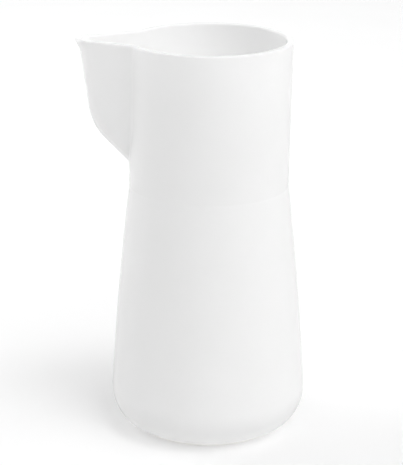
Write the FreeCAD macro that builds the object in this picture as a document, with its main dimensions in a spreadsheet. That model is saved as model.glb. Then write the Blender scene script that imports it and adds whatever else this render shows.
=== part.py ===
"""Porcelain pouring jug, 210 mm tall, in millimetres.

The origin is the centre of the foot ring's underside, +Z runs up the axis and the beak points
along -X. Every surface is driven by the spreadsheet "Dims". The outer surface is drawn first;
inner surfaces are the same outlines moved inwards by the wall thickness.
"""
import FreeCAD, Part
import math
import os
import re
import Sketcher

doc = FreeCAD.newDocument("PouringJug")

# name, value (mm or degrees), what it measures
DIMENSIONS = (
    ("jug_height", 210.0, "table to rim"),
    ("rim_radius", 43.0, "outside of the rim"),
    ("waist_radius", 41.7, "outside of the crease between neck and skirt"),
    ("waist_height", 133.0, "table to the crease"),
    ("belly_radius", 51.65, "outside of the skirt where the belly rounding starts"),
    ("belly_height", 22.1, "table to the start of the belly rounding"),
    ("skirt_curve", 1880.0, "radius of the skirt's slight outward bulge"),
    ("belly_curve", 23.0, "radius of the rounding under the belly"),
    ("wall", 3.4, "wall thickness"),
    ("rim_round", 1.2, "rounding of both edges of the rim"),
    ("floor_thickness", 4.2, "thickness of the floor"),
    ("floor_radius", 40.0, "radius at which the floor joins the skirt"),
    ("underside_round", 1.2, "rounding where the belly meets the underside"),
    ("foot_radius", 38.0, "outside of the foot ring"),
    ("foot_height", 4.7, "height of the foot ring"),
    ("foot_width", 4.0, "radial width of the foot ring"),
    ("foot_round", 0.8, "rounding of both edges of the bearing face"),
    ("beak_reach", 70.5, "axis to the tip of the beak at the rim"),
    ("beak_half_angle", 24.0, "angle between the beak's flank and its centre plane"),
    ("beak_nose", 9.7, "outside radius of the beak's nose"),
    ("keel_slope", 7.6, "angle between the keel and the vertical"),
    ("lip_curve", 13.5, "radius of the outward flare at the pouring lip"),
    ("lip_depth", 8.1, "rim down to the end of the flare"),
    ("chin_depth", 45.6, "rim down to the corner between keel and chin"),
    ("chin_angle", 45.0, "angle between the chin and the vertical"),
    ("chin_curve", 30.0, "radius between keel and chin"),
    ("beak_root", 26.0, "axis to the blind end of the beak's sweep, inside the jug"),
)

# name, formula; slopes are angles from the vertical
DERIVED = (
    ("floor_top", "foot_height + floor_thickness"),
    ("skirt_drop", "waist_height - belly_height"),
    ("skirt_flare", "belly_radius - waist_radius"),
    ("skirt_chord", "sqrt(skirt_drop ^ 2 + skirt_flare ^ 2)"),
    ("belly_slope", "atan(skirt_flare / skirt_drop) - asin(skirt_chord / 2 / skirt_curve)"),
    ("belly_centre_x", "belly_radius - belly_curve * cos(belly_slope)"),
    ("belly_centre_z", "belly_height - belly_curve * sin(belly_slope)"),
    ("inner_curve", "belly_curve - wall"),
    ("underside_radius", "belly_centre_x + sqrt(belly_curve ^ 2 - (belly_centre_z - foot_height) ^ 2)"),
    ("floor_edge", "belly_centre_x + sqrt(inner_curve ^ 2 - (belly_centre_z - floor_top) ^ 2)"),
    ("lip_top_sine", "sin(keel_slope) + lip_depth / lip_curve"),
    ("lip_centre_x", "beak_reach + lip_curve * sqrt(1 - lip_top_sine ^ 2)"),
    ("lip_centre_z", "jug_height - lip_curve * lip_top_sine"),
    ("inner_reach", "lip_centre_x - sqrt((lip_curve + wall) ^ 2 - (jug_height - lip_centre_z) ^ 2)"),
    ("chin_tangent", "chin_curve * tan((chin_angle - keel_slope) / 2)"),
    ("keel_length", "(chin_depth - lip_depth) / cos(keel_slope) - chin_tangent"),
    ("keel_end_x", "lip_centre_x - lip_curve * cos(keel_slope) - keel_length * sin(keel_slope)"),
    ("keel_end_z", "jug_height - lip_depth - keel_length * cos(keel_slope)"),
    ("chin_centre_x", "keel_end_x - chin_curve * cos(keel_slope)"),
    ("chin_centre_z", "keel_end_z + chin_curve * sin(keel_slope)"),
)

ORIGIN = (-1, 1)
X_AXIS = -1
Y_AXIS = -2
TINY = 1e-6
EDGE_MATCH = 0.001  # mm; an edge this close to a wanted place is taken to lie there


def fill_sheet():
    """Write the driving dimensions and the lengths that follow from them, one row each."""
    table = doc.addObject("Spreadsheet::Sheet", "Dims")
    row = 0
    for name, value, meaning in DIMENSIONS:
        row += 1
        table.set(f"A{row}", name)
        table.set(f"B{row}", str(value))
        table.set(f"C{row}", meaning)
        table.setAlias(f"B{row}", name)
    doc.recompute()
    for name, formula in DERIVED:
        row += 1
        table.set(f"A{row}", name)
        table.set(f"B{row}", f"={formula}")
        table.setAlias(f"B{row}", name)
        doc.recompute()
    return table


sheet = fill_sheet()
SHEET_NAME = re.compile(r"\b(" + "|".join(entry[0] for entry in DIMENSIONS + DERIVED) + r")\b")


def bound(formula):
    """The formula with every sheet name written as a reference to the sheet."""
    return SHEET_NAME.sub(r"Dims.\1", formula)


def measure(formula):
    """The number that a formula gives with the sheet's present values."""
    return float(sheet.evalExpression(bound(formula)))


def new_body(label):
    """An empty body whose label names its file."""
    body = doc.addObject("PartDesign::Body", label)
    body.Label = label
    return body


def new_sketch(body, role, name):
    """A sketch on one of the body's own origin planes."""
    sketch = body.newObject("Sketcher::SketchObject", name)
    plane = next(item for item in body.Origin.OriginFeatures if item.Role == role)
    sketch.AttachmentSupport = (plane, [""])
    sketch.MapMode = "FlatFace"
    return sketch


def pin(sketch, curve, end, kind, formula):
    """Hold one coordinate of a curve's end point at a formula of the sheet."""
    place = measure(formula)
    if abs(place) < TINY:
        axis = Y_AXIS if kind == "DistanceX" else X_AXIS
        sketch.addConstraint(Sketcher.Constraint("PointOnObject", curve, end, axis))
        return
    if place > 0:
        points = (*ORIGIN, curve, end)
        text = bound(formula)
    else:
        points = (curve, end, *ORIGIN)
        text = f"-({bound(formula)})"
    number = sketch.addConstraint(Sketcher.Constraint(kind, *points, abs(place)))
    sketch.setExpression(f"Constraints[{number}]", text)


def arc_through(start, finish, radius, side):
    """The short arc between two points; side is 1 if it bulges left of the way it runs."""
    chord = finish - start
    half = chord.Length / 2
    bulge = radius - math.sqrt(radius * radius - half * half)
    left = FreeCAD.Vector(-chord.y, chord.x, 0).normalize()
    return Part.Arc(start, (start + finish) / 2 + left * side * bulge, finish)


def draw(sketch, corners, arcs, closed=True):
    """Draw an outline through corners given as pairs of formulas.

    arcs maps the number of a side to (radius formula, 1 or -1 for the way it bulges); all other
    sides are straight.
    """
    points = [FreeCAD.Vector(measure(x), measure(y), 0) for x, y in corners]
    sides = len(corners) if closed else len(corners) - 1
    ends = []
    for number in range(sides):
        start = points[number]
        finish = points[(number + 1) % len(points)]
        if number in arcs:
            radius, bulge_side = arcs[number]
            curve = sketch.addGeometry(arc_through(start, finish, measure(radius), bulge_side))
            size = Sketcher.Constraint("Radius", curve, measure(radius))
            sketch.setExpression(f"Constraints[{sketch.addConstraint(size)}]", bound(radius))
        else:
            curve = sketch.addGeometry(Part.LineSegment(start, finish))
        runs_forward = (sketch.getPoint(curve, 1) - start).Length < TINY
        ends.append((curve, 1, 2) if runs_forward else (curve, 2, 1))
        pin(sketch, curve, ends[-1][1], "DistanceX", corners[number][0])
        pin(sketch, curve, ends[-1][1], "DistanceY", corners[number][1])
    for (curve, _, finish), (following, start, _) in zip(ends, ends[1:]):
        sketch.addConstraint(Sketcher.Constraint("Coincident", curve, finish, following, start))
    if closed:
        last, first = ends[-1], ends[0]
        sketch.addConstraint(Sketcher.Constraint("Coincident", last[0], last[2], first[0], first[1]))
    else:
        pin(sketch, ends[-1][0], ends[-1][2], "DistanceX", corners[-1][0])
        pin(sketch, ends[-1][0], ends[-1][2], "DistanceY", corners[-1][1])


def turn(body, corners, arcs, kind="Revolution"):
    """Turn an outline in the XZ plane once round the body's Z axis."""
    sketch = new_sketch(body, "XZ_Plane", f"{body.Label}_{kind.lower()}_outline")
    draw(sketch, corners, arcs)
    feature = body.newObject(f"PartDesign::{kind}", f"{body.Label}_{kind.lower()}")
    feature.Profile = sketch
    feature.ReferenceAxis = (sketch, ["V_Axis"])
    feature.Angle = 360
    doc.recompute()
    return feature


def sweep_beak(body, kind, reach, inset):
    """Carry the beak's V outline down its keel without turning it.

    reach is the tip's distance from the axis at the rim; inset moves the whole surface inwards.
    """
    outer_name = f"{body.Label}_{kind.lower()}"
    keel = new_sketch(body, "XZ_Plane", f"{outer_name}_keel")
    chin_radius = f"chin_curve - {inset}"
    chin_x = f"-(chin_centre_x + ({chin_radius}) * cos(chin_angle))"
    chin_z = f"chin_centre_z - ({chin_radius}) * sin(chin_angle)"
    corners = (
        (f"-{reach}", "jug_height"),
        (f"-(lip_centre_x - (lip_curve + {inset}) * cos(keel_slope))",
         f"lip_centre_z + (lip_curve + {inset}) * sin(keel_slope)"),
        (f"-(chin_centre_x + ({chin_radius}) * cos(keel_slope))",
         f"chin_centre_z - ({chin_radius}) * sin(keel_slope)"),
        (chin_x, chin_z),
        ("-beak_root", f"{chin_z} - (-beak_root - ({chin_x})) / tan(chin_angle)"),
    )
    draw(keel, corners, {0: (f"lip_curve + {inset}", 1), 2: (chin_radius, -1)}, closed=False)

    mouth = new_sketch(body, "XY_Plane", f"{outer_name}_mouth")
    mouth.setExpression("AttachmentOffset.Base.z", "Dims.jug_height")
    nose = f"(beak_nose - {inset})"
    tangent = f"({reach} - {nose} + {nose} * sin(beak_half_angle))"
    half_nose = f"{nose} * cos(beak_half_angle)"
    half_root = f"({half_nose} + ({tangent} - beak_root) * tan(beak_half_angle))"
    corners = (
        (f"-{tangent}", half_nose),
        (f"-{tangent}", f"-{half_nose}"),
        ("-beak_root", f"-{half_root}"),
        ("-beak_root", half_root),
    )
    draw(mouth, corners, {0: (nose, -1)})

    feature = body.newObject(f"PartDesign::{kind}", outer_name)
    feature.Profile = mouth
    feature.Spine = (keel, [f"Edge{number}" for number in range(1, 5)])
    feature.Mode = "Fixed"
    doc.recompute()
    return feature


def round_edges(body, radius, wanted):
    """Round the edges of the body's tip for which wanted(edge) is true."""
    base = body.Tip
    names = [f"Edge{number}" for number, edge in enumerate(base.Shape.Edges, 1) if wanted(edge)]
    feature = body.newObject("PartDesign::Fillet", f"{body.Label}_{radius}")
    feature.Base = (base, names)
    feature.Radius = measure(radius)
    feature.setExpression("Radius", f"Dims.{radius}")
    doc.recompute()
    return feature


def at_height(formula):
    """A test for edges that lie flat at one height."""
    level = measure(formula)

    def lies_there(edge):
        box = edge.BoundBox
        return max(abs(box.ZMin - level), abs(box.ZMax - level)) < EDGE_MATCH
    return lies_there


def build_neck():
    """Tapering tube from the crease to the rim, open towards the beak."""
    body = new_body("neck")
    turn(body, (
        ("waist_radius", "waist_height"),
        ("rim_radius", "jug_height"),
        ("rim_radius - wall", "jug_height"),
        ("waist_radius - wall", "waist_height"),
    ), {})
    sweep_beak(body, "SubtractivePipe", "inner_reach", "wall")
    round_edges(body, "rim_round", at_height("jug_height"))
    return body


def build_skirt():
    """Flaring lower wall from the crease to the belly and in to the floor."""
    body = new_body("skirt")
    turn(body, (
        ("waist_radius", "waist_height"),
        ("belly_radius", "belly_height"),
        ("underside_radius", "foot_height"),
        ("floor_radius", "foot_height"),
        ("floor_radius", "floor_top"),
        ("floor_edge", "floor_top"),
        ("belly_radius - wall * cos(belly_slope)", "belly_height - wall * sin(belly_slope)"),
        ("waist_radius - wall", "waist_height"),
    ), {
        0: ("skirt_curve", 1),
        1: ("belly_curve", 1),
        5: ("inner_curve", -1),
        6: ("skirt_curve - wall", -1),
    })
    level = at_height("foot_height")
    radius = measure("underside_radius")
    round_edges(body, "underside_round",
                lambda edge: level(edge) and abs(edge.BoundBox.XMax - radius) < EDGE_MATCH)
    return body


def build_floor():
    """Flat disc that closes the skirt."""
    body = new_body("floor")
    turn(body, (
        ("0", "foot_height"),
        ("floor_radius", "foot_height"),
        ("floor_radius", "floor_top"),
        ("0", "floor_top"),
    ), {})
    return body


def build_foot_ring():
    """Recessed ring that the jug stands on."""
    body = new_body("foot_ring")
    turn(body, (
        ("foot_radius", "0"),
        ("foot_radius", "foot_height"),
        ("foot_radius - foot_width", "foot_height"),
        ("foot_radius - foot_width", "0"),
    ), {})
    round_edges(body, "foot_round", at_height("0"))
    return body


def build_beak():
    """V-shaped trough with a straight keel and a slanting chin, luted onto the neck."""
    body = new_body("beak")
    sweep_beak(body, "AdditivePipe", "beak_reach", "0")
    sweep_beak(body, "SubtractivePipe", "inner_reach", "wall")
    turn(body, (
        ("0", "belly_height"),
        ("belly_radius", "belly_height"),
        ("waist_radius", "waist_height"),
        ("rim_radius", "jug_height"),
        ("0", "jug_height"),
    ), {}, kind="Groove")
    top = at_height("jug_height")
    reach = measure("rim_radius")

    def is_lip(edge):
        middle = edge.valueAt((edge.FirstParameter + edge.LastParameter) / 2)
        on_neck = abs(math.hypot(middle.x, middle.y) - reach) < EDGE_MATCH
        return top(edge) and not on_neck
    round_edges(body, "rim_round", is_lip)
    return body


nodes = (build_neck(), build_skirt(), build_floor(), build_foot_ring(), build_beak())
doc.recompute()

for item in doc.Objects:
    if "Invalid" in item.State or "Error" in item.State:
        raise RuntimeError(f"{item.Label} did not compute: {item.State}")

os.makedirs("parts", exist_ok=True)
for body in nodes:
    if body.Shape.isNull() or not body.Shape.isValid() or len(body.Shape.Solids) != 1:
        raise RuntimeError(f"{body.Label} is not one valid solid")
    body.Shape.exportStep(f"parts/{body.Label}.step")
    print(f"{body.Label}: {body.Shape.Volume:.0f} mm3")
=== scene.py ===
"""Looks for the porcelain pouring jug: glazed shells over the CAD frame, studio light, camera.

Lengths are in metres. Up is +Z, the jug stands on z = 0 and its beak points along -X.
"""
import math
import bmesh
import bpy
import numpy as np
from mathutils import Matrix, Vector


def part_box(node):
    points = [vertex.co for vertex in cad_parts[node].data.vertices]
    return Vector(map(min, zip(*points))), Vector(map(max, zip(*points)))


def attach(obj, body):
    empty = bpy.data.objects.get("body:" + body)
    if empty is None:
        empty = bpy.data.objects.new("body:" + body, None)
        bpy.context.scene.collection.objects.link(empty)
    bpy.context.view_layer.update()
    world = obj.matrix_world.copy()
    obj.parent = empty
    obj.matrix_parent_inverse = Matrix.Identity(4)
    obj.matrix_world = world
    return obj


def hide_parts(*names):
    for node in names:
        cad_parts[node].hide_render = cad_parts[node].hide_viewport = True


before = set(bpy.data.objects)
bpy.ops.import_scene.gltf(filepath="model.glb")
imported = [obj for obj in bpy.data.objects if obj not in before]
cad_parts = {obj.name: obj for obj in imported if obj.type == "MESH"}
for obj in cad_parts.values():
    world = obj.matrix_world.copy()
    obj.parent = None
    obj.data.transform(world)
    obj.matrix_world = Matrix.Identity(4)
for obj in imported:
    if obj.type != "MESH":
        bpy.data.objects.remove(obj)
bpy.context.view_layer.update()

# ---------------------------------------------------------------- sizes taken from the CAD frame
NECK_LOW, NECK_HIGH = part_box("neck")
FLOOR_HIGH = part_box("floor")[1]
FOOT_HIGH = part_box("foot_ring")[1]
HEIGHT = NECK_HIGH.z
WAIST_Z = NECK_LOW.z
RIM_R = NECK_HIGH.x
FOOT_R = FOOT_HIGH.x
FOOT_Z = FOOT_HIGH.z
FLOOR_R = FLOOR_HIGH.x
FLOOR_Z = FLOOR_HIGH.z

# ---------------------------------------------------------------- sizes the boxes don't give
MM = 0.001
RESOLUTION = 1e7  # points closer together than about 1 / RESOLUTION are one vertex
MATCHING = 1e6    # corners of two pieces closer together than about 1 / MATCHING meet
WALL = 3.4 * MM
WAIST_R = 41.7 * MM
WAIST_SOFT = 1.5 * MM
RIM_ROUND = 1.2 * MM
SKIRT_CURVE = 1880 * MM
BELLY_CURVE = 23 * MM
BELLY_START_R = 51.65 * MM
BELLY_START_Z = 22.1 * MM
UNDER_ROUND = 1.2 * MM
FLOOR_ROUND = 6 * MM
FOOT_WIDTH = 4.0 * MM
FOOT_ROUND = 0.8 * MM
REACH = 70.5 * MM
NOSE_R = 9.7 * MM
FLANK_ANGLE = math.radians(24)
KEEL_SLOPE = math.radians(7.6)
LIP_CURVE = 13.5 * MM
LIP_DEPTH = 8.1 * MM
CHIN_DEPTH = 45.6 * MM
CHIN_ANGLE = math.radians(45)
CHIN_CURVE = 30 * MM
OUTER_BLEND = 0.9 * MM
INNER_BLEND = 7 * MM

ROUND_COLUMNS = 240
BEAK_COLUMNS = 72
HIGH_ROWS = 56
LOW_ROWS = 6
RIM_ROWS = 12
SKIRT_STEPS = 24
BELLY_STEPS = 20
INNER_BELLY_STEPS = 14
UNDER_STEPS = 6
ROUND_STEPS = 8
HALVINGS = 60
ROW_CROWDING = 1.6        # above 1, rows lie closer together towards the chin
SMOOTH_COSINE = math.cos(math.radians(38))

# ---------------------------------------------------------------- looks
TRANSLUCENT_SHARE = 0.3   # of the light that meets the wall
GLAZE_ROUGHNESS = 0.07
GLAZE_IOR = 1.5
GLAZE_TINTS = (0.945, 0.945, 0.944), (0.955, 0.955, 0.955)
TINT_LIMITS = 0.3, 0.7
MOTTLE_SCALE = 38
MOTTLE_DETAIL = 4
WAVE_SCALE = 22
WAVE_STRENGTH, WAVE_DEPTH = 0.05, 1 * MM
PEEL_SCALE = 420
PEEL_STRENGTH, PEEL_DEPTH = 0.02, 0.2 * MM
FOOT_GLAZE = (0.93, 0.93, 0.93)
BARE_TINTS = (0.78, 0.76, 0.73), (0.86, 0.85, 0.83)
BARE_LIMITS = 0.3 * MM, 0.6 * MM
BARE_ROUGHNESS = 0.75
GRIT_SCALE = 900
GRIT_STRENGTH, GRIT_DEPTH = 0.2, 0.2 * MM
PAPER_TINTS = (0.87, 0.87, 0.87), (0.89, 0.89, 0.89)
PAPER_GRAIN = 60
PAPER_ROUGHNESS = 0.9
UNDER_GLOW = 0.59
UNDER_GLOW_RADII = 36 * MM, 52 * MM

# ---------------------------------------------------------------- studio: room, lamps, camera
# azimuths are in degrees from the camera's side, positive to the right; the room's glows are
# strengths of its background towards each side
BACKDROP_TONE = 0.9       # what the camera itself sees of the room
BACK_GLOW = 1.40
RIGHT_GLOW = 2.95
RIGHT_AZIMUTH = 52
LEFT_GLOW = 0.95
LEFT_AZIMUTH = -114
FRONT_GLOW = 0.50
TOP_GLOW = 0.50
LOW_TO_MIDDLE = 0.25, 0.45    # heights on the unit sphere at which the room's bands meet
MIDDLE_TO_HIGH = 0.65, 0.85
BEHIND_EDGE = -0.1, 0.4       # cosines between which the back wall fades in
KEY_ANGLE = 18
BOX_SIZE = 0.8
LAMP_DISTANCE = 1.2
DIFFUSE_BOUNCES = 8       # a white hollow needs more than the usual 4
FLOOR_HALF = 3.0

CAMERA_AZIMUTH = math.radians(2.0)
CAMERA_DISTANCE = 0.9572
CAMERA_HEIGHT = 0.4143
CAMERA_TILT = math.radians(17.865)
CAMERA_PAN = math.radians(-0.226)
CAMERA_ROLL = math.radians(0.249)
CAMERA_LENS = 147.22      # mm
CAMERA_SENSOR = 36        # mm
CLIP_START, CLIP_END = 0.01, 20


# ---------------------------------------------------------------- the jug's surface as formulas
# side is 0 for the outside of the wall and 1 for the inside; theta is the angle from the beak's plane
LIP_SINE = math.sin(KEEL_SLOPE) + LIP_DEPTH / LIP_CURVE
LIP_X = REACH + LIP_CURVE * math.sqrt(1 - LIP_SINE ** 2)
LIP_Z = HEIGHT - LIP_CURVE * LIP_SINE
KEEL_LENGTH = ((CHIN_DEPTH - LIP_DEPTH) / math.cos(KEEL_SLOPE)
               - CHIN_CURVE * math.tan((CHIN_ANGLE - KEEL_SLOPE) / 2))
CHIN_X = (LIP_X - (LIP_CURVE + CHIN_CURVE) * math.cos(KEEL_SLOPE)
          - KEEL_LENGTH * math.sin(KEEL_SLOPE))
CHIN_Z = (HEIGHT - LIP_DEPTH - KEEL_LENGTH * math.cos(KEEL_SLOPE)
          + CHIN_CURVE * math.sin(KEEL_SLOPE))


def rim_fall(z):
    """How far the rim's rounding has drawn the surface in towards the middle of the wall."""
    rise = np.clip(z - HEIGHT + RIM_ROUND, 0, RIM_ROUND)
    return RIM_ROUND - np.sqrt(RIM_ROUND ** 2 - rise ** 2)


def neck_radius(z, side):
    """Radius of the neck's tapering tube with its rounded rim."""
    slope = (RIM_R - WAIST_R) / (HEIGHT - WAIST_Z)
    return WAIST_R + slope * (z - WAIST_Z) - side * WALL - (1 - 2 * side) * rim_fall(z)


def nose_radius(z, side):
    """Radius of the beak's rounded nose in a level section."""
    return NOSE_R - side * WALL - (1 - 2 * side) * rim_fall(z)


def lip_round(side):
    """Centre line reach of the lip's rounding and the height at which it meets the flare."""
    flare = LIP_CURVE + side * WALL
    away = flare + (1 - 2 * side) * RIM_ROUND
    rise = HEIGHT - RIM_ROUND - LIP_Z
    return LIP_X - math.sqrt(away ** 2 - rise ** 2), LIP_Z + rise * flare / away


def keel_reach(z, side):
    """Distance from the axis to the keel: rounded lip, flare, straight keel, chin, slant."""
    flare_r = LIP_CURVE + side * WALL
    chin_r = CHIN_CURVE - side * WALL
    round_x, round_z = lip_round(side)
    flare_x = LIP_X - flare_r * math.cos(KEEL_SLOPE)
    flare_z = LIP_Z + flare_r * math.sin(KEEL_SLOPE)
    chin_top = CHIN_Z - chin_r * math.sin(KEEL_SLOPE)
    slant_x = CHIN_X + chin_r * math.cos(CHIN_ANGLE)
    slant_z = CHIN_Z - chin_r * math.sin(CHIN_ANGLE)

    over = np.sqrt(np.maximum(RIM_ROUND ** 2 - (z - HEIGHT + RIM_ROUND) ** 2, 0))
    rounded = round_x + (1 - 2 * side) * over
    flare = LIP_X - np.sqrt(np.maximum(flare_r ** 2 - (z - LIP_Z) ** 2, 0))
    straight = flare_x - (flare_z - z) * math.tan(KEEL_SLOPE)
    chin = CHIN_X + np.sqrt(np.maximum(chin_r ** 2 - (z - CHIN_Z) ** 2, 0))
    slant = slant_x - (slant_z - z) * math.tan(CHIN_ANGLE)
    return np.select([z > round_z, z > flare_z, z > chin_top, z > slant_z],
                     [rounded, flare, straight, chin], slant)


def beak_radius(theta, z, side):
    """Distance from the axis to the beak's V outline."""
    nose = nose_radius(z, side)
    centre = keel_reach(z, side) - nose
    flank = (nose + centre * math.sin(FLANK_ANGLE)) / np.sin(theta + FLANK_ANGLE)
    chord = np.maximum(nose ** 2 - (centre * np.sin(theta)) ** 2, 0)
    rounded = centre * np.cos(theta) + np.sqrt(chord)
    on_flank = flank * np.cos(theta) <= centre + nose * math.sin(FLANK_ANGLE)
    return np.where(on_flank, flank, rounded)


def joint_angle(z, side):
    """Angle at which the V outline meets the neck's tube, 0 below the chin."""
    nose = nose_radius(z, side)
    centre = keel_reach(z, side) - nose
    tube = neck_radius(z, side)
    if centre + nose <= tube:
        return 0.0
    by_flank = math.asin((nose + centre * math.sin(FLANK_ANGLE)) / tube) - FLANK_ANGLE
    if tube * math.cos(by_flank) <= centre + nose * math.sin(FLANK_ANGLE):
        return by_flank
    return math.acos((centre ** 2 + tube ** 2 - nose ** 2) / (2 * centre * tube))


def shell_radius(theta, z, side):
    """Radius of the fired shell, in which tube and beak run into each other."""
    tube = neck_radius(z, side)
    beak = beak_radius(np.minimum(np.abs(theta), math.pi / 2), z, side)
    blend = INNER_BLEND if side else OUTER_BLEND
    share = np.maximum(0, 1 - np.abs(tube - beak) / blend)
    return np.maximum(tube, beak) + blend * share ** 2 / 4


def chin_height(side):
    """Height at which the keel's slant comes out of the neck's tube."""
    low, high = WAIST_Z, HEIGHT - CHIN_DEPTH
    for _ in range(HALVINGS):
        middle = (low + high) / 2
        if keel_reach(middle, side) > neck_radius(middle, side):
            high = middle
        else:
            low = middle
    return (low + high) / 2


def rows_up(side, from_waist):
    """Heights from the waist, or from the chin, to the top of the rim."""
    chin = chin_height(side)
    first_z = min(lip_round(side)[1], HEIGHT - RIM_ROUND)
    climb = chin + (first_z - chin) * np.linspace(0, 1, HIGH_ROWS + 1) ** ROW_CROWDING
    first = math.asin((first_z - HEIGHT) / RIM_ROUND + 1)
    over = HEIGHT - RIM_ROUND + RIM_ROUND * np.sin(np.linspace(first, math.pi / 2, RIM_ROWS + 1)[1:])
    if not from_waist:
        return np.concatenate([climb, over])
    low = WAIST_Z + WAIST_SOFT + (chin - WAIST_Z - WAIST_SOFT) * np.linspace(0, 1, LOW_ROWS + 1)
    return np.concatenate([[WAIST_Z], low[:-1], climb, over])


def shell_sheet(from_waist, spread):
    """Grid of points up the outside, over the rim and down the inside.

    Each row holds one point per angle that spread(joint angle) gives.
    """
    rows = []
    for side, heights in ((0, rows_up(0, from_waist)), (1, rows_up(1, from_waist)[::-1])):
        for z in heights:
            theta = spread(joint_angle(z, side))
            radius = shell_radius(theta, z, side)
            rows.append(np.stack([-radius * np.cos(theta), radius * np.sin(theta),
                                  np.full(len(theta), z)], axis=1))
    return np.array(rows)


def neck_spread(joint):
    """Angles from one side of the beak round the back to the other, within -180..180 degrees."""
    theta = math.pi + np.linspace(-1, 1, ROUND_COLUMNS + 1) * (math.pi - joint)
    return np.where(theta > math.pi, theta - 2 * math.pi, theta)


def beak_spread(joint):
    """Angles across the beak."""
    return np.linspace(-joint, joint, BEAK_COLUMNS + 1)


def joint_caps(sheet, first_row):
    """Faces that close the wall along the first and the last column, from first_row upwards."""
    last = len(sheet) - 1
    half = len(sheet) // 2
    return [np.stack([sheet[first_row:half, column], sheet[last - first_row:last - half:-1, column]])
            for column in (0, -1)]


# ---------------------------------------------------------------- meshes
def lathe_sheet(outline):
    """Grid of points for an outline of (radius, height) turned round the axis."""
    turn = np.linspace(0, 2 * math.pi, ROUND_COLUMNS + 1)
    turn[-1] = 0
    outline = np.array(outline)
    radius = outline[:, 0:1]
    return np.stack([-radius * np.cos(turn), radius * np.sin(turn),
                     np.repeat(outline[:, 1:2], len(turn), axis=1)], axis=2)


def arc(centre, radius, start, end, steps):
    """Points of an arc in the (radius, height) plane; angles in degrees from the outward line."""
    angles = np.radians(np.linspace(start, end, steps + 1))
    return [(centre[0] + radius * math.cos(a), centre[1] + radius * math.sin(a)) for a in angles]


def corner_round(centre, radius, flat_z, corner):
    """Centre and meeting angle of a rounding between an arc and a level line under its centre."""
    z = flat_z + corner
    x = centre[0] + math.sqrt((radius - corner) ** 2 - (centre[1] - z) ** 2)
    return (x, z), math.degrees(math.atan2(z - centre[1], x - centre[0]))


def skirt_outline():
    """Closed outline of the skirt: down the outside, in to the floor joint, up the inside."""
    drop = WAIST_Z - BELLY_START_Z
    flare = BELLY_START_R - WAIST_R
    half_sweep = math.asin(math.hypot(drop, flare) / 2 / SKIRT_CURVE)
    top_slope = math.atan2(flare, drop) + half_sweep
    low_slope = math.atan2(flare, drop) - half_sweep
    far_centre = (WAIST_R - SKIRT_CURVE * math.cos(top_slope),
                  WAIST_Z - SKIRT_CURVE * math.sin(top_slope))
    belly_centre = (BELLY_START_R - BELLY_CURVE * math.cos(low_slope),
                    BELLY_START_Z - BELLY_CURVE * math.sin(low_slope))
    top, low = math.degrees(top_slope), math.degrees(low_slope)
    inner_curve = BELLY_CURVE - WALL
    soft = math.degrees(WAIST_SOFT / SKIRT_CURVE)
    under, under_angle = corner_round(belly_centre, BELLY_CURVE, FOOT_Z, UNDER_ROUND)
    inner, inner_angle = corner_round(belly_centre, inner_curve, FLOOR_Z, FLOOR_ROUND)
    outside = ([(WAIST_R, WAIST_Z)]
               + arc(far_centre, SKIRT_CURVE, top - soft, low, SKIRT_STEPS)
               + arc(belly_centre, BELLY_CURVE, low, under_angle, BELLY_STEPS)[1:]
               + arc(under, UNDER_ROUND, under_angle, -90, UNDER_STEPS)[1:])
    joint = [(FLOOR_R, FOOT_Z), (FLOOR_R, FLOOR_Z)]
    inside = (arc(inner, FLOOR_ROUND, -90, inner_angle, ROUND_STEPS)
              + arc(belly_centre, inner_curve, inner_angle, low, INNER_BELLY_STEPS)[1:]
              + arc(far_centre, SKIRT_CURVE - WALL, low, top - soft, SKIRT_STEPS)[1:]
              + [(WAIST_R - WALL, WAIST_Z)])
    return outside + joint + inside + outside[:1]


def foot_outline():
    """Closed outline of the foot ring with both edges of its bearing face rounded."""
    inner_r = FOOT_R - FOOT_WIDTH
    outer_edge = arc((FOOT_R - FOOT_ROUND, FOOT_ROUND), FOOT_ROUND, 0, -90, ROUND_STEPS)
    inner_edge = arc((inner_r + FOOT_ROUND, FOOT_ROUND), FOOT_ROUND, -90, -180, ROUND_STEPS)
    return [(FOOT_R, FOOT_Z)] + outer_edge + inner_edge + [(inner_r, FOOT_Z), (FOOT_R, FOOT_Z)]


def weld(sheets):
    """One vertex list and its faces from several grids; points at one place become one vertex."""
    points, faces, known = [], [], {}

    def vertex(point):
        key = tuple(np.round(point * RESOLUTION).astype(int))
        if key not in known:
            known[key] = len(points)
            points.append(point)
        return known[key]

    for sheet in sheets:
        numbers = [[vertex(point) for point in row] for row in sheet]
        for low, high in zip(numbers, numbers[1:]):
            for a, b, c, d in zip(low, low[1:], high[1:], high):
                corners = list(dict.fromkeys((a, b, c, d)))
                if len(corners) > 2:
                    faces.append(corners)
    return points, faces


def face_outward(mesh):
    """Turn all faces of a closed mesh to look outward."""
    shape = bmesh.new()
    shape.from_mesh(mesh)
    bmesh.ops.recalc_face_normals(shape, faces=shape.faces)
    if shape.calc_volume(signed=True) < 0:
        bmesh.ops.reverse_faces(shape, faces=shape.faces)
    shape.to_mesh(mesh)
    shape.free()


def make_piece(name, node, sheets, *materials):
    """A closed mesh in place of one CAD node."""
    points, faces = weld(sheets)
    mesh = bpy.data.meshes.new(name)
    mesh.from_pydata([tuple(p) for p in points], [], faces)
    piece = bpy.data.objects.new(name, mesh)
    bpy.context.scene.collection.objects.link(piece)
    face_outward(mesh)
    for material in materials:
        mesh.materials.append(material)
    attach(piece, "root")
    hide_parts(node)
    return piece


def place_of(mesh, vertex):
    """A key that two vertices share when they lie at one place."""
    return tuple(round(c * MATCHING) for c in mesh.vertices[vertex].co)


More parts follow.
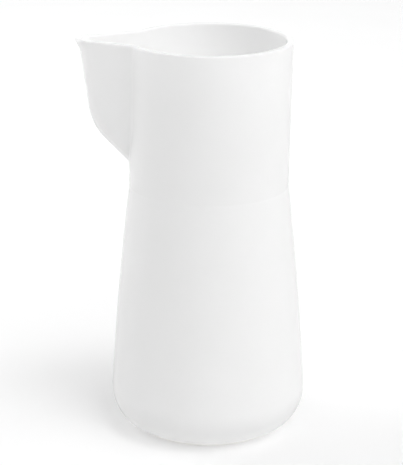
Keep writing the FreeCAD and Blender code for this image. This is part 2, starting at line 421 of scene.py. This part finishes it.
def open_joints(pieces, material):
    """Give the faces at which two pieces meet inside the wall a material of their own."""
    owners = {}
    for piece in pieces:
        mesh = piece.data
        mesh.materials.append(material)
        for face in mesh.polygons:
            corners = tuple(sorted(place_of(mesh, vertex) for vertex in face.vertices))
            owners.setdefault(corners, []).append((piece, face))
    for meeting in owners.values():
        if len(meeting) > 1:
            for piece, face in meeting:
                face.material_index = len(piece.data.materials) - 1


def shade_together(pieces):
    """Give the pieces one set of smooth normals, so that no seam shows where they meet."""
    around = {}
    for piece in pieces:
        mesh = piece.data
        for face in mesh.polygons:
            face.use_smooth = True
            for vertex in face.vertices:
                around.setdefault(place_of(mesh, vertex), []).append((face.normal.copy(), face.area))
    for piece in pieces:
        mesh = piece.data
        normals = []
        for face in mesh.polygons:
            for vertex in face.vertices:
                total = Vector((0, 0, 0))
                for normal, area in around[place_of(mesh, vertex)]:
                    if normal.dot(face.normal) > SMOOTH_COSINE:
                        total += normal * area
                normals.append(total.normalized())
        mesh.normals_split_custom_set(normals)


# ---------------------------------------------------------------- materials
def new_material(name):
    """An empty node material with its nodes, links and Principled shader."""
    material = bpy.data.materials.new(name)
    material.use_nodes = True
    nodes = material.node_tree.nodes
    return material, nodes, material.node_tree.links, nodes["Principled BSDF"]


def noise_node(tree, scale, place=None):
    """A noise texture, laid out in the object's own space when place is given."""
    noise = tree.nodes.new("ShaderNodeTexNoise")
    noise.inputs["Scale"].default_value = scale
    if place:
        tree.links.new(place.outputs["Object"], noise.inputs["Vector"])
    return noise


def tint_node(tree, noise, tints, limits=(0, 1)):
    """Colour ramp from the first tint to the second over the noise."""
    ramp = tree.nodes.new("ShaderNodeValToRGB")
    for element, tint, limit in zip(ramp.color_ramp.elements, tints, limits):
        element.position = limit
        element.color = (*tint, 1)
    tree.links.new(noise.outputs["Fac"], ramp.inputs["Fac"])
    return ramp


def bump_node(tree, noise, strength, depth):
    """Bump from a noise texture."""
    bump = tree.nodes.new("ShaderNodeBump")
    bump.inputs["Strength"].default_value = strength
    bump.inputs["Distance"].default_value = depth
    tree.links.new(noise.outputs["Fac"], bump.inputs["Height"])
    return bump


def let_light_through(material, colour, normal):
    """Mix in the share of light that thin porcelain lets through."""
    nodes, links = material.node_tree.nodes, material.node_tree.links
    through = nodes.new("ShaderNodeBsdfTranslucent")
    mix = nodes.new("ShaderNodeMixShader")
    mix.inputs["Fac"].default_value = TRANSLUCENT_SHARE
    links.new(colour, through.inputs["Color"])
    links.new(normal, through.inputs["Normal"])
    links.new(nodes["Principled BSDF"].outputs["BSDF"], mix.inputs[1])
    links.new(through.outputs["BSDF"], mix.inputs[2])
    links.new(mix.outputs["Shader"], nodes["Material Output"].inputs["Surface"])


def joint_material():
    """Clay joints inside the wall: the body runs on, so light passes them unchanged."""
    material, nodes, links, _ = new_material("clay_joint")
    clear = nodes.new("ShaderNodeBsdfTransparent")
    links.new(clear.outputs["BSDF"], nodes["Material Output"].inputs["Surface"])
    return material


def glaze_material():
    """Clear glossy glaze over white porcelain: faint mottling, slow waves and fine orange peel."""
    material, nodes, links, shader = new_material("white_glaze")
    tree = material.node_tree
    place = nodes.new("ShaderNodeTexCoord")
    mottle = noise_node(tree, MOTTLE_SCALE, place)
    mottle.inputs["Detail"].default_value = MOTTLE_DETAIL
    tint = tint_node(tree, mottle, GLAZE_TINTS, TINT_LIMITS)
    slow = bump_node(tree, noise_node(tree, WAVE_SCALE, place), WAVE_STRENGTH, WAVE_DEPTH)
    fine = bump_node(tree, noise_node(tree, PEEL_SCALE, place), PEEL_STRENGTH, PEEL_DEPTH)
    links.new(tint.outputs["Color"], shader.inputs["Base Color"])
    links.new(slow.outputs["Normal"], fine.inputs["Normal"])
    links.new(fine.outputs["Normal"], shader.inputs["Normal"])
    shader.inputs["Roughness"].default_value = GLAZE_ROUGHNESS
    shader.inputs["IOR"].default_value = GLAZE_IOR
    let_light_through(material, tint.outputs["Color"], fine.outputs["Normal"])
    return material


def foot_material():
    """Glaze that ends just above the bearing face, where the bare porcelain is matt and gritty."""
    material, nodes, links, shader = new_material("foot_glaze_and_bare_edge")
    tree = material.node_tree
    place = nodes.new("ShaderNodeTexCoord")
    split = nodes.new("ShaderNodeSeparateXYZ")
    glazed = nodes.new("ShaderNodeMapRange")
    glazed.inputs["From Min"].default_value = BARE_LIMITS[0]
    glazed.inputs["From Max"].default_value = BARE_LIMITS[1]
    grit = noise_node(tree, GRIT_SCALE, place)
    tint = tint_node(tree, grit, BARE_TINTS)
    colour = nodes.new("ShaderNodeMix")
    colour.data_type = "RGBA"
    colour.inputs["B"].default_value = (*FOOT_GLAZE, 1)
    rough = nodes.new("ShaderNodeMapRange")
    rough.inputs["To Min"].default_value = BARE_ROUGHNESS
    rough.inputs["To Max"].default_value = GLAZE_ROUGHNESS
    bump = bump_node(tree, grit, GRIT_STRENGTH, GRIT_DEPTH)
    links.new(place.outputs["Object"], split.inputs["Vector"])
    links.new(split.outputs["Z"], glazed.inputs["Value"])
    links.new(glazed.outputs["Result"], colour.inputs["Factor"])
    links.new(tint.outputs["Color"], colour.inputs["A"])
    links.new(colour.outputs["Result"], shader.inputs["Base Color"])
    links.new(glazed.outputs["Result"], rough.inputs["Value"])
    links.new(rough.outputs["Result"], shader.inputs["Roughness"])
    links.new(bump.outputs["Normal"], shader.inputs["Normal"])
    let_light_through(material, colour.outputs["Result"], bump.outputs["Normal"])
    return material


class Formula:
    """Value nodes of one node tree, joined up by plain calls."""

    def __init__(self, tree):
        self.tree = tree

    def math(self, operation, *values):
        """One math node; each value is a number or a socket."""
        node = self.tree.nodes.new("ShaderNodeMath")
        node.operation = operation
        for socket, value in zip(node.inputs, values):
            if isinstance(value, (int, float)):
                socket.default_value = value
            else:
                self.tree.links.new(value, socket)
        return node.outputs[0]

    def ramp(self, value, start, end):
        """Smooth step from 0 at start to 1 at end, start below end."""
        node = self.tree.nodes.new("ShaderNodeMapRange")
        node.interpolation_type = "SMOOTHSTEP"
        node.inputs["From Min"].default_value = start
        node.inputs["From Max"].default_value = end
        self.tree.links.new(value, node.inputs["Value"])
        return node.outputs["Result"]

    def total(self, *terms):
        """Sum of products; each term is a tuple of numbers and sockets."""
        result = 0.0
        for term in terms:
            product = term[0]
            for factor in term[1:]:
                product = self.math("MULTIPLY", product, factor)
            result = self.math("ADD", product, result)
        return result


def floor_material():
    """Plain white paper table; where the jug shades it, a glow that only lights the jug."""
    material, nodes, links, shader = new_material("studio_paper")
    tree = material.node_tree
    formula = Formula(tree)
    tint = tint_node(tree, noise_node(tree, PAPER_GRAIN), PAPER_TINTS)
    place = nodes.new("ShaderNodeTexCoord")
    away = nodes.new("ShaderNodeVectorMath")
    away.operation = "LENGTH"
    links.new(place.outputs["Object"], away.inputs[0])
    under = formula.math("SUBTRACT", 1, formula.ramp(away.outputs["Value"], *UNDER_GLOW_RADII))
    unseen = formula.math("SUBTRACT", 1, nodes.new("ShaderNodeLightPath").outputs["Is Camera Ray"])
    links.new(tint.outputs["Color"], shader.inputs["Base Color"])
    links.new(formula.total((UNDER_GLOW, under, unseen)), shader.inputs["Emission Strength"])
    shader.inputs["Emission Color"].default_value = (1, 1, 1, 1)
    shader.inputs["Roughness"].default_value = PAPER_ROUGHNESS
    shader.inputs["Specular IOR Level"].default_value = 0.0
    return material


# ---------------------------------------------------------------- the jug
glaze = glaze_material()
foot_glaze = foot_material()

neck_sheet = shell_sheet(True, neck_spread)
chin_row = LOW_ROWS + 1
neck_joint = np.stack([neck_sheet[-1], neck_sheet[0]])
neck = make_piece("neck_glazed", "neck",
                  [neck_sheet, neck_joint] + joint_caps(neck_sheet, chin_row), glaze)

beak_sheet = shell_sheet(False, beak_spread)
beak = make_piece("beak_glazed", "beak", [beak_sheet] + joint_caps(beak_sheet, 0), glaze)

floor_outline = [(0, FOOT_Z), (FLOOR_R, FOOT_Z), (FLOOR_R, FLOOR_Z), (0, FLOOR_Z), (0, FOOT_Z)]
skirt = make_piece("skirt_glazed", "skirt", [lathe_sheet(skirt_outline())], glaze)
base = make_piece("floor_glazed", "floor", [lathe_sheet(floor_outline)], glaze)
foot = make_piece("foot_ring_half_glazed", "foot_ring", [lathe_sheet(foot_outline())], foot_glaze)
open_joints([neck, beak, skirt, base], joint_material())
shade_together([neck, beak])
shade_together([skirt, base])
shade_together([foot])

# ---------------------------------------------------------------- studio
scene = bpy.context.scene
scene.view_settings.view_transform = "Standard"
scene.cycles.diffuse_bounces = DIFFUSE_BOUNCES

floor_mesh = bpy.data.meshes.new("studio_floor")
floor_mesh.from_pydata([(-FLOOR_HALF, -FLOOR_HALF, 0), (FLOOR_HALF, -FLOOR_HALF, 0),
                        (FLOOR_HALF, FLOOR_HALF, 0), (-FLOOR_HALF, FLOOR_HALF, 0)], [], [(0, 1, 2, 3)])
floor_mesh.materials.append(floor_material())
studio_floor = bpy.data.objects.new("studio_floor", floor_mesh)
scene.collection.objects.link(studio_floor)


def room_world():
    """Soft room: strong glow on the right, wall behind the jug, weaker fill left, front and above."""
    room = bpy.data.worlds.new("studio_room")
    room.use_nodes = True
    nodes, links = room.node_tree.nodes, room.node_tree.links
    formula = Formula(room.node_tree)
    place = nodes.new("ShaderNodeTexCoord")
    split = nodes.new("ShaderNodeSeparateXYZ")
    links.new(place.outputs["Generated"], split.inputs["Vector"])
    turn = formula.math("ARCTAN2", split.outputs["X"], formula.math("MULTIPLY", split.outputs["Y"], -1))

    def lobe(azimuth):
        """1 towards the azimuth, falling to 0 a quarter turn away; 0 is the camera's side."""
        away = formula.math("COSINE", formula.math("SUBTRACT", turn, math.radians(azimuth)))
        return formula.math("MAXIMUM", away, 0)

    above_low = formula.ramp(split.outputs["Z"], *LOW_TO_MIDDLE)
    high = formula.ramp(split.outputs["Z"], *MIDDLE_TO_HIGH)
    low = formula.math("SUBTRACT", 1, above_low)
    middle = formula.math("SUBTRACT", above_low, high)
    behind = formula.ramp(formula.math("COSINE", formula.math("SUBTRACT", turn, math.pi)), *BEHIND_EDGE)
    glow = formula.total(
        (BACK_GLOW, low, behind),
        (RIGHT_GLOW, middle, lobe(RIGHT_AZIMUTH)),
        (LEFT_GLOW, middle, lobe(LEFT_AZIMUTH)),
        (FRONT_GLOW, middle, lobe(0)),
        (TOP_GLOW, high))
    seen = nodes.new("ShaderNodeLightPath").outputs["Is Camera Ray"]
    unseen = formula.math("SUBTRACT", 1, seen)
    strength = formula.total((1, glow, unseen), (BACKDROP_TONE, seen))
    links.new(strength, nodes["Background"].inputs["Strength"])
    nodes["Background"].inputs["Color"].default_value = (1, 1, 1, 1)
    return room


scene.world = room_world()


def put_lamp(name, kind, azimuth, elevation, strength):
    """A lamp aimed at the middle of the jug; strength is in the units of its kind."""
    turn, rise = math.radians(azimuth), math.radians(elevation)
    back = Vector((math.sin(turn) * math.cos(rise), -math.cos(turn) * math.cos(rise), math.sin(rise)))
    data = bpy.data.lights.new(name, kind)
    data.energy = strength
    lamp = bpy.data.objects.new(name, data)
    lamp.location = Vector((0, 0, HEIGHT / 2)) + back * LAMP_DISTANCE
    lamp.rotation_mode = "QUATERNION"
    lamp.rotation_quaternion = back.to_track_quat("Z", "Y")
    scene.collection.objects.link(lamp)
    return data


key = put_lamp("key_lamp", "SUN", azimuth=45, elevation=68, strength=0.39)
key.angle = math.radians(KEY_ANGLE)
for softbox in (put_lamp("left_softbox", "AREA", azimuth=LEFT_AZIMUTH, elevation=25, strength=3.4),
                put_lamp("back_softbox", "AREA", azimuth=180, elevation=50, strength=0.9)):
    softbox.shape = "SQUARE"
    softbox.size = BOX_SIZE

# ---------------------------------------------------------------- camera
camera_data = bpy.data.cameras.new("camera")
camera_data.lens = CAMERA_LENS
camera_data.sensor_width = CAMERA_SENSOR
camera = bpy.data.objects.new("camera", camera_data)
forward = Vector((math.sin(CAMERA_PAN) * math.cos(CAMERA_TILT),
                  math.cos(CAMERA_PAN) * math.cos(CAMERA_TILT), -math.sin(CAMERA_TILT)))
level = Vector((math.cos(CAMERA_PAN), -math.sin(CAMERA_PAN), 0))
upward = level.cross(forward)
right = level * math.cos(CAMERA_ROLL) + upward * math.sin(CAMERA_ROLL)
up = upward * math.cos(CAMERA_ROLL) - level * math.sin(CAMERA_ROLL)
pose = Matrix((right, up, -forward)).transposed().to_4x4()
pose.translation = (0, -CAMERA_DISTANCE, CAMERA_HEIGHT)
camera.matrix_world = Matrix.Rotation(CAMERA_AZIMUTH, 4, "Z") @ pose
camera_data.clip_start = CLIP_START
camera_data.clip_end = CLIP_END
scene.collection.objects.link(camera)
scene.camera = camera
